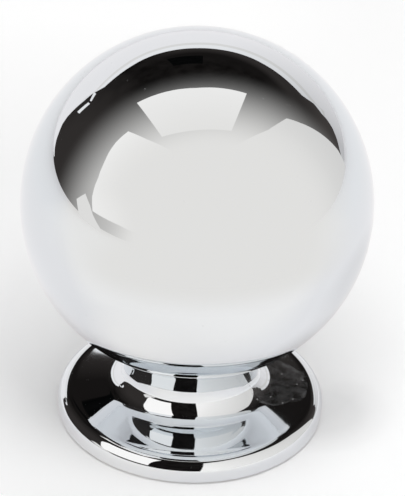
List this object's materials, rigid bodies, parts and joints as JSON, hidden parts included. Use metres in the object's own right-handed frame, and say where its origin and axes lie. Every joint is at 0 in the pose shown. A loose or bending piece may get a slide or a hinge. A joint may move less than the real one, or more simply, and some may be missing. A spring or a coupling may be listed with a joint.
{
  "type": "round knob",
  "caption": "Chrome-plated round ball knob on a waisted stem and a wide round foot, with a tapped blind hole in the underside for its fixing screw.",
  "frame": {"origin": "centre of the seat, on the knob's axis, where the foot meets the door", "axes": "+Z along the knob's axis, from the seat out through the ball"},
  "size_m": [0.032, 0.032, 0.0386],
  "materials": {
    "chrome_plate": "mirror polished"
  },
  "bodies": {
    "root": {"knob_body": "chrome_plate"}
  },
  "joints": []
}
